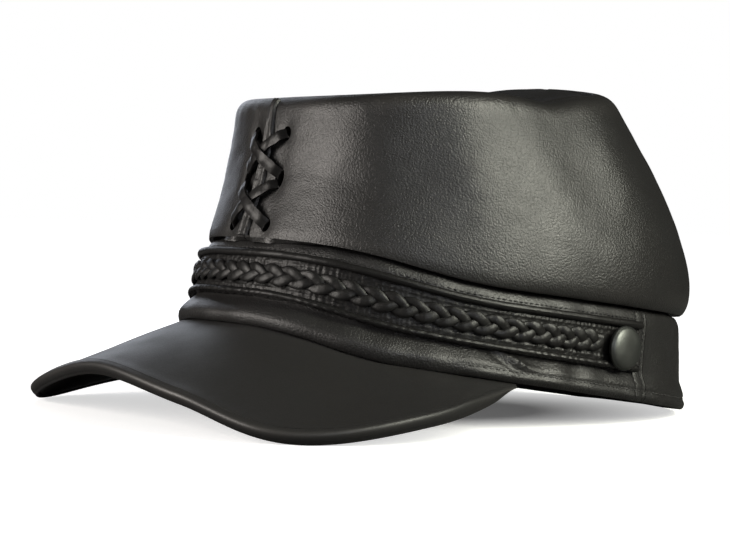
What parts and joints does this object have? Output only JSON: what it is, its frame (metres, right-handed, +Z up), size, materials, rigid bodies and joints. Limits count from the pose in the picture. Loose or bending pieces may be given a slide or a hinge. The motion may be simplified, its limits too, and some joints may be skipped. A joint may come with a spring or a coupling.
{
  "type": "leather kepi",
  "caption": "Black leather kepi with a tall sunken crown, laced front seam, braided strap, side buttons and a drooping peak.",
  "frame": {"origin": "on the surface that the hat stands on, under the middle of its box", "axes": "+Z up; -Y is the front, where the peak is; +X is the wearer's left"},
  "size_m": [0.212, 0.2566, 0.1305],
  "materials": {
    "crown_leather": "semi-gloss black leather with a fine pebble grain",
    "band_leather": "semi-gloss black leather with creases and stitching",
    "trim_leather": "black leather thongs, plait and rolled edges, a little shinier on the raised parts",
    "peak_leather": "smooth matte black leather",
    "button_metal": "satin gunmetal"
  },
  "bodies": {
    "root": {"crown_side_left": "crown_leather", "crown_side_right": "crown_leather", "crown_top": "crown_leather", "front_seam_strip": "trim_leather", "lace_upper_over": "trim_leather", "lace_upper_under": "trim_leather", "lace_lower_over": "trim_leather", "lace_lower_under": "trim_leather", "strap": "band_leather", "strap_piping_upper": "trim_leather", "strap_piping_lower": "trim_leather", "braid": "trim_leather", "button_left": "button_metal", "button_right": "button_metal", "peak": "peak_leather", "peak_facing": "peak_leather", "peak_edge": "peak_leather", "band_front": "band_leather", "band_back": "band_leather"}
  },
  "joints": []
}
